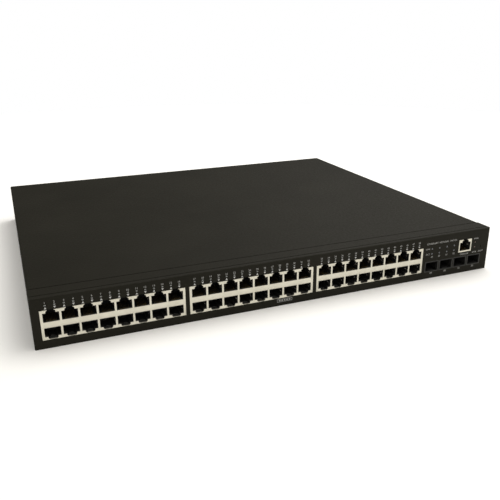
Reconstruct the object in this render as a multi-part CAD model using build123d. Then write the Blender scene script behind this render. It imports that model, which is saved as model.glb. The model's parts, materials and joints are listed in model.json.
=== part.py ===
"""Rackmount network switch, 1U, 48 copper ports and 4 pluggable ports.

Millimetres. +X is right and -Y is the front, as seen by a person facing the ports. +Z is up.
The origin is at the bottom centre of the whole object's box.
"""
import os
from math import asin, cos, sin

from build123d import *

# ---------------------------------------------------------------- driving dimensions
CASE_W = 440.0
CASE_D = 368.0
CASE_H = 43.6
FRONT_PROUD = 0.3          # how far the port housings stand out of the front panel
REAR_PROUD = 2.4           # how far the rear screw heads stand out of the rear panel

PANEL_T = 1.2
COVER_T = 1.0
TRAY_T = 1.2
WALL_T = 1.0
HOOP_D = 18.5              # depth of the front panel's folded rim
SEAM = 0.9                 # gap between that rim and the cover
GROOVE_Y = 4.5             # shadow groove round the rim, behind the front face
GROOVE_W = 0.8
GROOVE_T = 0.5
BEND_R = 1.6
TOUCH = 0.2                # gap between the cover's flanges and the tray's walls

PCB_T = 1.6
PCB_TOP = 7.5

PORTS_PER_ROW = 8
BLOCKS = 3
PORT_PITCH = 14.1
BLOCK_W = 115.3
BLOCK_GAP = 3.6
BLOCK_X = 6.6              # from the case's left side
BLOCK_Z = 7.5
BLOCK_H = 25.05
BLOCK_D = 26.0
SOCKET_W = 12.1
SOCKET_H = 6.8
SOCKET_D = 15.0
BAR_H = 5.7                # solid bar between the two rows
NOTCH_W = 7.2
NOTCH_SHOULDER = 1.5
NOTCH_CROWN = 1.9
SHELL_T = 0.3
WINDOW_SIDE = 0.2          # how much wider each shield window is than its socket, per side
WINDOW_END = 0.4           # how much taller it is, at its top and at its bottom
SLOT_W = 4.8               # slot in a shell's top sheet over a latch notch
SLOT_D = 3.0
FACE_GAP = 0.3

CONTACTS = 8
CONTACT_PITCH = 1.02
CONTACT_W = 0.5
CONTACT_T = 0.3
CONTACT_RISE = 1.9
CONTACT_START = 2.0
CONTACT_LENGTH = 9.0
CARRIER_LENGTH = 1.2

LED_PITCH = 7.05
LED_ROW_Z = 36.5
LED_W = 1.6
LED_H = 1.2

BOARD_TOP = 22.2           # small daughter board above the pluggable cages
CONSOLE_X = 402.5
CONSOLE_W = 15.2
CONSOLE_H = 12.8
CONSOLE_D = 17.0
CONSOLE_SILL = 1.8
CONSOLE_OPEN_H = 7.7
CONSOLE_SHOULDER = 1.6
CONSOLE_WINDOW_SIDE = 0.4
CONSOLE_SOCKET_D = 14.0

CAGES = 4
CAGE_PITCH = 17.0
CAGE_X = 371.3             # centre of the first cage
CAGE_W = 14.6
CAGE_H = 9.8
CAGE_D = 47.0
CAGE_T = 0.5
RIM_W = 15.6
RIM_H = 10.4
RIM_T = 0.25

SMALL_LED_X = (370.7, 379.4, 388.2, 397.0)
SMALL_LED_Z = (25.5, 30.5)
STATUS_LED_X = 422.7
SMALL_LED_R = 0.95
LAMP_R = 1.2
RESET_X = 430.3
RESET_Z = 25.2
RESET_HOLE_R = 0.8
RESET_R = 1.2
RESET_COLLAR_R = 1.8
RESET_TRAVEL = 0.4
RESET_FIT = 0.05
SWITCH_BORE_END = 8.0      # back of the plunger's chamber, behind the panel's face
SWITCH_CHAMBER = 2.2       # depth of the wider part that holds the plunger's collar

FAN_SIZE = 40.0
FAN_D = 20.0
FAN_X = (-160.0, -104.0)
FAN_BORE_R = 19.0
FAN_SCREW_PITCH = 32.0
ROTOR_R = 18.3
HUB_R = 10.2
SHAFT_R = 1.5
SHAFT_FIT = 0.04
TUBE_R = 3.2               # bearing tube in the middle of the fan's frame
STATOR_R = 7.8
STATOR_FIT = 0.05
BLADES = 7

INLET_X = 150.0
INLET_W = 27.0
INLET_H = 19.8
FLANGE_W = 50.0
FLANGE_H = 22.4
INLET_SCREW_PITCH = 40.0

GROUND_X = 108.0
GROUND_Z = 14.0

EAR_Y = 46.0               # centre of the rack-ear holes, behind the front
EAR_DY = 40.0
EAR_DZ = 22.0
EAR_HOLE_R = 2.0

VENT_COUNT = 26
VENT_PITCH = 7.0
VENT_W = 3.0
VENT_H = 17.0
VENT_START = 112.0

# ---------------------------------------------------------------- derived values
FACE_Y = -(FRONT_PROUD + CASE_D + REAR_PROUD) / 2 + FRONT_PROUD
REAR_Y = FACE_Y + CASE_D
HALF_W = CASE_W / 2
MID_Z = CASE_H / 2
PCB_BOTTOM = PCB_TOP - PCB_T
WALL_X = HALF_W - COVER_T - TOUCH           # outer face of the tray's side walls
WALL_TOP = CASE_H - COVER_T - 0.1
COVER_Y = FACE_Y + HOOP_D + SEAM
UPPER_Z = BLOCK_Z + (BLOCK_H + BAR_H + SOCKET_H) / 2
LOWER_Z = BLOCK_Z + (BLOCK_H - BAR_H - SOCKET_H) / 2
CAGE_Z = PCB_TOP + CAGE_H / 2
BOARD_BOTTOM = BOARD_TOP - PCB_T
REAR_IN = REAR_Y - PANEL_T


def across(x):
    """X of a point measured from the case's left side."""
    return x - HALF_W


def behind(y):
    """Y of a point measured back from the front panel's face."""
    return FACE_Y + y


def span(x, y, z):
    """Box given by its low and high corner in each direction."""
    size = [high - low for low, high in (x, y, z)]
    middle = [(high + low) / 2 for low, high in (x, y, z)]
    return Pos(*middle) * Box(*size)


def rod_y(x, z, y, radius):
    """Cylinder along Y between the two values of y."""
    return Pos(x, (y[0] + y[1]) / 2, z) * Rot(90, 0, 0) * Cylinder(radius, y[1] - y[0])


def rod_x(y, z, x, radius):
    """Cylinder along X between the two values of x."""
    return Pos((x[0] + x[1]) / 2, y, z) * Rot(0, 90, 0) * Cylinder(radius, x[1] - x[0])


def rod_z(x, y, z, radius):
    """Cylinder along Z between the two values of z."""
    return Pos(x, y, (z[0] + z[1]) / 2) * Cylinder(radius, z[1] - z[0])


def save(name, *solids):
    """Write one sub-part, made of one or more separate solids."""
    flat = [solid for shape in solids for solid in shape.solids()]
    body = flat[0] if len(flat) == 1 else Compound(children=flat)
    body.label = name
    export_step(body, f"parts/{name}.step")


# ---------------------------------------------------------------- places that repeat
def block_left(block):
    """Left edge of a port block, measured from the case's left side."""
    return BLOCK_X + block * (BLOCK_W + BLOCK_GAP)


def port_x(block, column):
    """X of the middle of one column of sockets."""
    middle = block_left(block) + BLOCK_W / 2
    return across(middle + (column - (PORTS_PER_ROW - 1) / 2) * PORT_PITCH)


def led_x(block, index):
    """X of one of the sixteen lights above a port block."""
    middle = block_left(block) + BLOCK_W / 2
    return across(middle + (index - PORTS_PER_ROW + 0.5) * LED_PITCH)


def cage_x(index):
    """X of the middle of one pluggable cage."""
    return across(CAGE_X + index * CAGE_PITCH)


def ear_holes():
    """Y and Z of the four rack-ear holes on a side."""
    return [
        (behind(EAR_Y + dy), MID_Z + dz)
        for dy in (-EAR_DY / 2, EAR_DY / 2)
        for dz in (-EAR_DZ / 2, EAR_DZ / 2)
    ]


SIDE_SCREWS = [(behind(y), z) for y in (96.0, 344.0) for z in (9.0, 34.0)]
STANDOFFS = [
    (across(x), behind(y))
    for x, y in (
        (9.0, 40.0), (9.0, 205.0), (123.7, 40.0), (150.0, 205.0), (242.6, 40.0),
        (290.0, 205.0), (361.5, 62.0), (428.0, 62.0), (428.0, 205.0),
    )
]
PSU_STANDOFFS = [(x, behind(y)) for x in (72.0, 206.0) for y in (228.0, 340.0)]
BOARD_PILLARS = [(across(x), behind(y)) for x, y in ((363.9, 52.5), (433.0, 52.5), (433.0, 36.0))]


# ---------------------------------------------------------------- sheet metal
def side_cut(y, z, radius):
    """Hole through both side walls."""
    return rod_x(y, z, (-HALF_W - 1, HALF_W + 1), radius)


def vent_cut(index, grow):
    """Upright slot through both side walls, with round ends."""
    y = behind(VENT_START + index * VENT_PITCH)
    half = (VENT_H - VENT_W) / 2
    width = VENT_W + 2 * grow
    body = span(
        (-HALF_W - 1, HALF_W + 1),
        (y - width / 2, y + width / 2),
        (MID_Z - half, MID_Z + half),
    )
    ends = [side_cut(y, MID_Z + side * half, width / 2) for side in (-1, 1)]
    return body + ends[0] + ends[1]


def front_panel():
    """Folded front panel, with its rim round the top and sides, and every window."""
    y_in = behind(PANEL_T)
    outer = span((-HALF_W, HALF_W), (FACE_Y, behind(HOOP_D)), (0, CASE_H))
    bends = outer.edges().filter_by(Axis.X).sort_by(Axis.Z)[-2:].sort_by(Axis.Y)[:1]
    bends += outer.edges().filter_by(Axis.Z).sort_by(Axis.Y)[:2]
    outer = fillet(bends, BEND_R)
    inner_x = HALF_W - COVER_T
    inner = span((-inner_x, inner_x), (y_in, behind(HOOP_D + 1)), (-1, CASE_H - COVER_T))
    panel = outer - inner
    tongue_x = (-HALF_W + 20, HALF_W - 20)
    tongue_z = (WALL_TOP - 0.1 - COVER_T, CASE_H - COVER_T - 0.1)
    panel += span(tongue_x, (behind(HOOP_D - 3), behind(HOOP_D + 9)), tongue_z)
    panel += span(tongue_x, (behind(HOOP_D - 3), behind(HOOP_D)), (tongue_z[0], CASE_H - 0.5))
    return panel - rim_groove() - panel_windows()


def rim_groove():
    """Shallow groove across the rim's top and down its sides."""
    y = (behind(GROOVE_Y - GROOVE_W / 2), behind(GROOVE_Y + GROOVE_W / 2))
    ring = span((-HALF_W - 1, HALF_W + 1), y, (-1, CASE_H + 1))
    kept_x = HALF_W - GROOVE_T
    return ring - span((-kept_x, kept_x), (y[0] - 1, y[1] + 1), (-2, CASE_H - GROOVE_T))


def panel_windows():
    """Every window and hole that goes through the front panel."""
    through = (behind(-1), behind(PANEL_T + 1))
    cuts = []
    outlines = [block_outline(block) for block in range(BLOCKS)] + [console_outline()]
    for x, z in outlines:
        wide_x = (x[0] - FACE_GAP, x[1] + FACE_GAP)
        cuts.append(span(wide_x, through, (z[0] - FACE_GAP, z[1] + FACE_GAP)))
    for block in range(BLOCKS):
        for index in range(2 * PORTS_PER_ROW):
            x = (led_x(block, index) - LED_W / 2, led_x(block, index) + LED_W / 2)
            cuts.append(span(x, through, (LED_ROW_Z - LED_H / 2, LED_ROW_Z + LED_H / 2)))
    for index in range(CAGES):
        x = (cage_x(index) - CAGE_W / 2, cage_x(index) + CAGE_W / 2)
        cuts.append(span(x, through, (PCB_TOP, PCB_TOP + CAGE_H)))
    cuts += [rod_y(x, z, through, SMALL_LED_R) for x, z in led_places()]
    cuts.append(rod_y(across(RESET_X), RESET_Z, through, RESET_HOLE_R))
    return cuts


def base_tray():
    """Folded bottom sheet with two side walls, drawn-in standoff seats and vents."""
    front = behind(PANEL_T)
    tray = span((-WALL_X, WALL_X), (front, REAR_Y), (0, TRAY_T))
    lip = 6.0
    for side in (-1, 1):
        outer = side * WALL_X
        inner = side * (WALL_X - WALL_T)
        edge = side * (WALL_X - lip)
        tray += span(sorted((outer, inner)), (front, REAR_IN), (0, WALL_TOP - WALL_T))
        tray += span(
            sorted((outer, edge)),
            (COVER_Y + 12, REAR_IN),
            (WALL_TOP - WALL_T, WALL_TOP),
        )
    cuts = [side_cut(y, z, EAR_HOLE_R) for y, z in ear_holes()]
    cuts += [side_cut(y, z, 1.5) for y, z in SIDE_SCREWS]
    cuts += [vent_cut(index, 0.4) for index in range(VENT_COUNT)]
    return tray - cuts


def ring_slots(x, z):
    """Finger-proof fan opening: three rings of slots crossed by four spokes."""
    through = (REAR_IN - 1, REAR_Y + 1)
    slots = None
    for inner in (7.0, 11.4, 15.8):
        ring = rod_y(x, z, through, inner + 2.8) - rod_y(x, z, through, inner)
        slots = ring if slots is None else slots + ring
    reach = FAN_BORE_R + 1
    for turn in (45, 135):
        bar = Rot(0, turn, 0) * Box(2 * reach, CASE_D, 2.2)
        slots -= Pos(x, REAR_Y, z) * bar
    return slots


def fan_screw_places(x):
    """X and Z of one fan's four corner screws."""
    half = FAN_SCREW_PITCH / 2
    return [(x + sx * half, MID_Z + sz * half) for sx in (-1, 1) for sz in (-1, 1)]


def rear_panel():
    """Rear wall with its folded ends, two fan openings, the inlet window and vents."""
    edge = WALL_X - WALL_T
    wall_z = (TRAY_T, WALL_TOP)
    panel = span((-edge, edge), (REAR_IN, REAR_Y), wall_z)
    for side in (-1, 1):
        inner = side * (edge - PANEL_T)
        ends_z = (TRAY_T, WALL_TOP - WALL_T)
        panel += span(sorted((side * edge, inner)), (REAR_Y - 16, REAR_IN), ends_z)
    for x in FAN_X:
        panel -= ring_slots(x, MID_Z)
        for screw_x, screw_z in fan_screw_places(x):
            panel -= rod_y(screw_x, screw_z, (REAR_IN - 1, REAR_Y + 1), 1.8)
    through = (REAR_IN - 1, REAR_Y + 1)
    window = span(
        (INLET_X - INLET_W / 2 - 0.3, INLET_X + INLET_W / 2 + 0.3),
        through,
        (MID_Z - INLET_H / 2 - 0.3, MID_Z + INLET_H / 2 + 0.3),
    )
    panel -= window
    for side in (-1, 1):
        panel -= rod_y(INLET_X + side * INLET_SCREW_PITCH / 2, MID_Z, through, 1.6)
    panel -= rod_y(GROUND_X, GROUND_Z, through, 2.0)
    return panel


def top_cover():
    """Folded cover: the top sheet and a full-height flange down each side."""
    outer = span((-HALF_W, HALF_W), (COVER_Y, REAR_Y), (0.4, CASE_H))
    bends = outer.edges().filter_by(Axis.Y).sort_by(Axis.Z)[-2:]
    outer = fillet(bends, BEND_R)
    inner_x = HALF_W - COVER_T
    cover = outer - span((-inner_x, inner_x), (COVER_Y - 1, REAR_Y + 1), (-1, CASE_H - COVER_T))
    cuts = [side_cut(y, z, EAR_HOLE_R) for y, z in ear_holes()]
    cuts += [vent_cut(index, 0) for index in range(VENT_COUNT)]
    for y, z in SIDE_SCREWS:
        cuts.append(side_cut(y, z, 1.6))
        for side in (-1, 1):
            middle = Pos(side * (HALF_W - COVER_T / 2), y, z)
            cuts.append(middle * Rot(0, side * 90, 0) * Cone(1.8, 2.9, COVER_T))
    return cover - cuts


def cover_screw(side, y, z):
    """Countersunk screw, flush with the cover, with a cross recess."""
    head = Pos(side * (HALF_W - COVER_T / 2), y, z) * Rot(0, side * 90, 0) * Cone(1.7, 2.8, COVER_T)
    shank = rod_x(y, z, sorted((side * (HALF_W - COVER_T), side * (HALF_W - 6.0))), 1.45)
    recess = Pos(side * HALF_W, y, z) * (Box(0.9, 2.6, 0.6) + Box(0.9, 0.6, 2.6))
    return head + shank - recess


def clinch_nut(side, y, z):
    """Nut pressed behind a rack-ear hole."""
    inner = side * (WALL_X - WALL_T)
    reach = sorted((inner, inner - side * 3.0))
    return rod_x(y, z, reach, 3.9) - rod_x(y, z, reach, EAR_HOLE_R)


def pan_screw(x, z, y_head, length, radius):
    """Pan-head screw driven forwards into the rear panel, head outside."""
    head = rod_y(x, z, (y_head, y_head + 1.6), radius * 1.9)
    head = fillet(head.edges().sort_by(Axis.Y)[-1:], 0.7)
    recess = Pos(x, y_head + 1.6, z) * (Box(radius * 1.9, 1.6, 0.6) + Box(0.6, 1.6, radius * 1.9))
    return head + rod_y(x, z, (y_head - length, y_head), radius) - recess


# ---------------------------------------------------------------- copper ports
def socket_cut(x, z, y, up, height=SOCKET_H, shoulder=NOTCH_SHOULDER, side=0.0):
    """Space of one socket with its arched latch notch, above it if up is 1 and below if -1."""
    half = NOTCH_W / 2 + side
    half_w = SOCKET_W / 2 + side
    cut = span((x - half_w, x + half_w), y, (z - height / 2, z + height / 2))
    edge = z + up * height / 2
    spring = edge + up * shoulder
    radius = (half ** 2 + NOTCH_CROWN ** 2) / (2 * NOTCH_CROWN)
    arch = rod_y(x, spring + up * (NOTCH_CROWN - radius), y, radius)
    arch &= span((x - half, x + half), y, sorted((spring, spring + up * (NOTCH_CROWN + 1))))
    return cut + span((x - half, x + half), y, sorted((edge, spring))) + arch


def block_cuts(block, y):
    """Spaces of all sixteen sockets in a block, the lower row turned over."""
    cuts = []
    for column in range(PORTS_PER_ROW):
        cuts.append(socket_cut(port_x(block, column), UPPER_Z, y, 1))
        cuts.append(socket_cut(port_x(block, column), LOWER_Z, y, -1))
    return cuts


def shield_windows(block, y):
    """Outlines cut in a shield's face, a little larger than the sockets behind them."""
    size = {"height": SOCKET_H + 2 * WINDOW_END, "side": WINDOW_SIDE}
    size["shoulder"] = NOTCH_SHOULDER - WINDOW_END
    cuts = []
    for column in range(PORTS_PER_ROW):
        cuts.append(socket_cut(port_x(block, column), UPPER_Z, y, 1, **size))
        cuts.append(socket_cut(port_x(block, column), LOWER_Z, y, -1, **size))
    return cuts


def notch_slot(x, top):
    """Slot in a shell's top sheet that leaves a latch notch open above."""
    return span((x - SLOT_W / 2, x + SLOT_W / 2), (FACE_Y - 1, behind(SLOT_D)), (top - 0.5, top + 1))


def shell(x, z, depth):
    """Thin metal box with an open inside, from just in front of the panel to its back."""
    outer = span(x, (FACE_Y - FRONT_PROUD, behind(depth)), z)
    return outer - shell_core(x, z, depth)


def shell_core(x, z, depth):
    """Block that fills such a metal box."""
    inner_x = (x[0] + SHELL_T, x[1] - SHELL_T)
    inner_z = (z[0] + SHELL_T, z[1] - SHELL_T)
    return span(inner_x, (FACE_Y - FRONT_PROUD + SHELL_T, behind(depth - SHELL_T)), inner_z)


def block_outline(block):
    """X and Z ranges of a port block's face."""
    left = across(block_left(block))
    return (left, left + BLOCK_W), (BLOCK_Z, BLOCK_Z + BLOCK_H)


def port_housing(block):
    """Moulding with two rows of eight sockets."""
    x, z = block_outline(block)
    return shell_core(x, z, BLOCK_D) - block_cuts(block, (FACE_Y - 1, behind(SOCKET_D)))


def port_shield(block):
    """Plated shell round a port moulding, with the sockets' outlines cut in its face."""
    x, z = block_outline(block)
    slots = [notch_slot(port_x(block, column), z[1]) for column in range(PORTS_PER_ROW)]
    return shell(x, z, BLOCK_D) - shield_windows(block, (FACE_Y - 1, FACE_Y)) - slots


def socket_contacts(x, wall, up):
    """Comb of eight spring fingers that slopes off a socket's wall, opposite its notch."""
    half = (CONTACTS - 1) / 2 * CONTACT_PITCH + CONTACT_W / 2
    points = [(-half, 0)]
    for index in range(CONTACTS):
        left = -half + index * CONTACT_PITCH
        right = left + CONTACT_W
        points += [(left, CARRIER_LENGTH), (left, CONTACT_LENGTH)]
        points += [(right, CONTACT_LENGTH), (right, CARRIER_LENGTH)]
    points.append((half, 0))
    points.remove((-half, CARRIER_LENGTH))
    points.remove((half, CARRIER_LENGTH))
    slope = asin(CONTACT_RISE / CONTACT_LENGTH)
    plane = Plane(
        origin=(x, behind(CONTACT_START), wall),
        x_dir=(up, 0, 0),
        z_dir=(0, -sin(slope), up * cos(slope)),
    )
    return extrude(plane * make_face(Polyline(points, close=True)), CONTACT_T)


def port_contacts(block):
    """Contact combs of all sixteen sockets in a block."""
    combs = []
    for column in range(PORTS_PER_ROW):
        x = port_x(block, column)
        combs.append(socket_contacts(x, UPPER_Z - SOCKET_H / 2, 1))
        combs.append(socket_contacts(x, LOWER_Z + SOCKET_H / 2, -1))
    return combs


def port_light_pipe(block):
    """Clear comb that carries light from the board, over a port block, to the panel."""
    back = BLOCK_D + 3.0
    low = PCB_TOP + 1.4
    z = (LED_ROW_Z - 0.5, LED_ROW_Z + 0.5)
    comb = span(
        (led_x(block, 0) - 0.7, led_x(block, 2 * PORTS_PER_ROW - 1) + 0.7),
        (behind(back - 3.0), behind(back)),
        (z[0], z[1] + 1.0),
    )
    for index in range(2 * PORTS_PER_ROW):
        x = (led_x(block, index) - 0.7, led_x(block, index) + 0.7)
        comb += span(x, (FACE_Y - 0.1, behind(back)), z)
        comb += span(x, (behind(back - 1.4), behind(back)), (low, z[1]))
    return comb


def port_leds(block):
    """Small lamps on the board under the light pipe's legs."""
    y = (behind(BLOCK_D + 1.4), behind(BLOCK_D + 3.2))
    return [
        span((led_x(block, i) - 0.8, led_x(block, i) + 0.8), y, (PCB_TOP, PCB_TOP + 1.2))
        for i in range(2 * PORTS_PER_ROW)
    ]


# ---------------------------------------------------------------- console and reset
CONSOLE_MID_X = CONSOLE_X + CONSOLE_W / 2
CONSOLE_Z = BOARD_TOP + CONSOLE_SILL + CONSOLE_OPEN_H / 2


def console_outline():
    """X and Z ranges of the console socket's face."""
    left = across(CONSOLE_X)
    return (left, left + CONSOLE_W), (BOARD_TOP, BOARD_TOP + CONSOLE_H)


def console_cut(y, grow=0.0, side=0.0):
    """Space of the console socket, notch upwards, or its slightly larger shield window."""
    size = {"height": CONSOLE_OPEN_H + 2 * grow, "shoulder": CONSOLE_SHOULDER - grow}
    return socket_cut(across(CONSOLE_MID_X), CONSOLE_Z, y, 1, side=side, **size)


def console_housing():
    """Moulding of the single socket on the daughter board."""
    x, z = console_outline()
    return shell_core(x, z, CONSOLE_D) - console_cut((FACE_Y - 1, behind(CONSOLE_SOCKET_D)))


def console_shield():
    """Plated shell round the console socket's moulding."""
    x, z = console_outline()
    window = console_cut((FACE_Y - 1, FACE_Y), WINDOW_END, CONSOLE_WINDOW_SIDE)
    return shell(x, z, CONSOLE_D) - window - notch_slot(across(CONSOLE_MID_X), z[1])


def console_contacts():
    """Contact comb of the console socket."""
    return socket_contacts(across(CONSOLE_MID_X), CONSOLE_Z - CONSOLE_OPEN_H / 2, 1)


def console_board():
    """Daughter board that carries the console socket, small lights and reset switch."""
    board = span(
        (across(361.2), across(436.5)),
        (behind(PANEL_T + 1.0), behind(58.0)),
        (BOARD_BOTTOM, BOARD_TOP),
    )
    for x, y in BOARD_PILLARS:
        board -= rod_z(x, y, (BOARD_BOTTOM - 1, BOARD_TOP + 1), 1.6)
    return board


def board_pillars():
    """Spacers between the main board and the daughter board, each with a screw boss."""
    pillars = []
    for x, y in BOARD_PILLARS:
        post = rod_z(x, y, (PCB_TOP, BOARD_BOTTOM), 2.6)
        pillars.append(post + rod_z(x, y, (BOARD_BOTTOM, BOARD_TOP + 1.6), 1.5))
    return pillars


def led_places():
    """X and Z of the ten small round lights beside the console socket."""
    return [(across(x), z) for x in SMALL_LED_X + (STATUS_LED_X,) for z in SMALL_LED_Z]


def led_holders():
    """Two-high black holders that stand on the daughter board."""
    holders = []
    for x in SMALL_LED_X + (STATUS_LED_X,):
        middle = across(x)
        top = SMALL_LED_Z[1] + 2.0
        body = span((middle - 2.0, middle + 2.0), (behind(3.0), behind(9.0)), (BOARD_TOP, top))
        for z in SMALL_LED_Z:
            body -= rod_y(middle, z, (behind(2.0), behind(7.0)), LAMP_R + 0.1)
        holders.append(body)
    return holders


def led_lenses():
    """Clear lamps that reach from the holders into the panel's holes."""
    lenses = []
    for x, z in led_places():
        tip = rod_y(x, z, (FACE_Y - 0.1, behind(3.0)), SMALL_LED_R - 0.05)
        lenses.append(tip + rod_y(x, z, (behind(PANEL_T + 0.3), behind(6.8)), LAMP_R))
    return lenses


def reset_switch():
    """Side-acting push switch with a bore for its plunger and a chamber for its collar."""
    x = across(RESET_X)
    end = behind(SWITCH_BORE_END)
    body = span((x - 3.0, x + 3.0), (behind(4.0), behind(11.0)), (BOARD_TOP, RESET_Z + 2.8))
    body -= rod_y(x, RESET_Z, (behind(3.0), end), RESET_R + RESET_FIT)
    return body - rod_y(x, RESET_Z, (end - SWITCH_CHAMBER, end), RESET_COLLAR_R + RESET_FIT)


def reset_button():
    """Plunger behind the reset pinhole, with a collar that keeps it in the switch."""
    x = across(RESET_X)
    back = behind(SWITCH_BORE_END - RESET_TRAVEL - 0.2)
    collar_y = (back - SWITCH_CHAMBER + RESET_TRAVEL + 0.4, back)
    plunger = rod_y(x, RESET_Z, (behind(PANEL_T + 0.6), back), RESET_R)
    return plunger + rod_y(x, RESET_Z, collar_y, RESET_COLLAR_R)


# ---------------------------------------------------------------- pluggable cages
def pluggable_cage(index):
    """Sheet-metal cage with an open front, a thin rim on the panel and a closed back."""
    x = cage_x(index)
    z = (PCB_TOP, PCB_TOP + CAGE_H)
    outer = span((x - CAGE_W / 2, x + CAGE_W / 2), (FACE_Y, behind(CAGE_D)), z)
    rim_z = (CAGE_Z - RIM_H / 2, CAGE_Z + RIM_H / 2)
    rim = span((x - RIM_W / 2, x + RIM_W / 2), (FACE_Y - RIM_T, FACE_Y), rim_z)
    inner = span(
        (x - CAGE_W / 2 + CAGE_T, x + CAGE_W / 2 - CAGE_T),
        (FACE_Y - 1, behind(CAGE_D) - CAGE_T),
        (z[0] + CAGE_T, z[1] - CAGE_T),
    )
    slot = span((x - 5.5, x + 5.5), (behind(34.0), behind(44.0)), (z[0] - 1, z[0] + CAGE_T + 1))
    return outer + rim - inner - slot


def pluggable_connector(index):
    """Edge connector at the back of a cage, with its card slot."""
    x = cage_x(index)
    top = PCB_TOP + CAGE_H - CAGE_T - 1.2
    body = span((x - 5.3, x + 5.3), (behind(34.5), behind(43.5)), (PCB_TOP, top))
    slot = span((x - 4.2, x + 4.2), (behind(34.0), behind(39.0)), (CAGE_Z - 0.7, CAGE_Z + 0.7))
    return body - slot


# ---------------------------------------------------------------- main board
def main_board():
    """Main circuit board with a hole for each standoff."""
    board = span(
        (across(6.0), across(CASE_W - 6.0)),
        (behind(PANEL_T + 0.6), behind(214.0)),
        (PCB_BOTTOM, PCB_TOP),
    )
    for x, y in STANDOFFS:
        board -= rod_z(x, y, (PCB_BOTTOM - 1, PCB_TOP + 1), 1.6)
    return board


def standoff(x, y):
    """Threaded pillar pressed into the tray."""
    return rod_z(x, y, (TRAY_T, PCB_BOTTOM), 3.0) - rod_z(x, y, (TRAY_T + 0.5, PCB_BOTTOM + 1), 1.45)


def board_screw(x, y):
    """Pan-head screw down through a board into its standoff."""
    head = rod_z(x, y, (PCB_TOP, PCB_TOP + 1.7), 2.8)
    head = fillet(head.edges().sort_by(Axis.Z)[-1:], 0.6)
    recess = Pos(x, y, PCB_TOP + 1.7) * (Box(3.0, 0.7, 1.4) + Box(0.7, 3.0, 1.4))
    return head + rod_z(x, y, (TRAY_T + 1.0, PCB_TOP), 1.4) - recess


CHIP_X = across(232.0)
CHIP_Y = behind(128.0)
CHIP_SIZE = 38.0
CHIP_H = 2.6


def chip(x, y, size, height):
    """Square chip package standing on the main board, with a small bevel round its top."""
    body = span(
        (x - size / 2, x + size / 2),
        (y - size / 2, y + size / 2),
        (PCB_TOP, PCB_TOP + height),
    )
    return chamfer(body.edges().filter_by(Plane.XY).sort_by(Axis.Z)[-4:], 0.3)


def heatsink(x, y, width, z_low, base, height, fins, fin_t):
    """Flat base with upright fins that run front to back."""
    half = width / 2
    sink = span((x - half, x + half), (y - half, y + half), (z_low, z_low + base))
    pitch = (width - fin_t) / (fins - 1)
    for index in range(fins):
        left = x - half + index * pitch
        sink += span((left, left + fin_t), (y - half, y + half), (z_low, z_low + height))
    return sink


PHY_X = [across(x) for x in (35.0, 92.0, 153.0, 212.0, 273.0, 331.0)]
PHY_Y = behind(76.0)
PHY_H = 1.6
PHY_SIZE = 22.0
PHY_SINK = 25.0
MAGNETICS_PER_BLOCK = 4
MAGNETICS_PITCH = 27.0
MAGNETICS_W = 22.0
MAGNETICS_H = 5.5
SWITCH_SINK = 62.0


def magnetics():
    """Signal transformers in a row behind each port block."""
    parts = []
    y = (behind(38.0), behind(52.0))
    for block in range(BLOCKS):
        middle = across(block_left(block) + BLOCK_W / 2)
        for index in range(MAGNETICS_PER_BLOCK):
            x = middle + (index - (MAGNETICS_PER_BLOCK - 1) / 2) * MAGNETICS_PITCH
            x_range = (x - MAGNETICS_W / 2, x + MAGNETICS_W / 2)
            parts.append(span(x_range, y, (PCB_TOP, PCB_TOP + MAGNETICS_H)))
    return parts


def memory_chips():
    """Memory and flash packages beside the switch chip."""
    places = [(300.0, 118.0), (300.0, 140.0), (322.0, 118.0), (322.0, 140.0), (380.0, 130.0)]
    return [
        span(
            (across(x - 6.0), across(x + 6.0)),
            (behind(y - 7.0), behind(y + 7.0)),
            (PCB_TOP, PCB_TOP + 1.2),
        )
        for x, y in places
    ]


def board_capacitors():
    """Round capacitors of the board's own power converters."""
    places = [(60.0, 190.0), (74.0, 190.0), (88.0, 190.0), (350.0, 195.0), (364.0, 195.0)]
    return [capacitor(across(x), behind(y), PCB_TOP, 4.0, 11.5) for x, y in places]


def coils():
    """Square power inductors of the board's converters."""
    places = [(60.0, 168.0), (80.0, 168.0), (350.0, 172.0), (370.0, 172.0)]
    return [chip(across(x), behind(y), 12.0, 6.5) for x, y in places]


def capacitor(x, y, z, radius, height):
    """Can capacitor with a rolled groove near its foot."""
    can = rod_z(x, y, (z, z + height), radius)
    can = fillet(can.edges().sort_by(Axis.Z)[-1:], 0.5)
    groove = rod_z(x, y, (z + 1.6, z + 2.3), radius + 1) - rod_z(x, y, (z + 1.6, z + 2.3), radius - 0.4)
    return can - groove


# ---------------------------------------------------------------- power supply
PSU_X = (66.0, 212.0)
PSU_Y = (behind(222.0), behind(346.0))
TRANSFORMER_X = 119.0
TRANSFORMER_Y = behind(285.0)
CORE_W = 34.0
CORE_D = 28.0
CORE_H = 28.0
CORE_LIMB = 10.0
CORE_WINDOW = 23.0
CHOKE_X = 180.0
CHOKE_Y = behind(318.0)
CHOKE_R = 12.0
CHOKE_HOLE_R = 5.0
CHOKE_H = 12.0
SINK_X = (92.0, 146.0)     # left faces of the power supply's two cooling plates
SINK_Y = (behind(250.0), behind(320.0))
SINK_H = 30.0
LEAD_X = (86.0, 89.0)
LEAD_Y = (200.0, 230.0)    # main board end and power supply end, from the front
LEAD_R = 1.1
PLUG_H = 5.0


def psu_board():
    """Power supply's own board."""
    board = span(PSU_X, PSU_Y, (PCB_BOTTOM, PCB_TOP))
    for x, y in PSU_STANDOFFS:
        board -= rod_z(x, y, (PCB_BOTTOM - 1, PCB_TOP + 1), 1.6)
    return board


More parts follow.
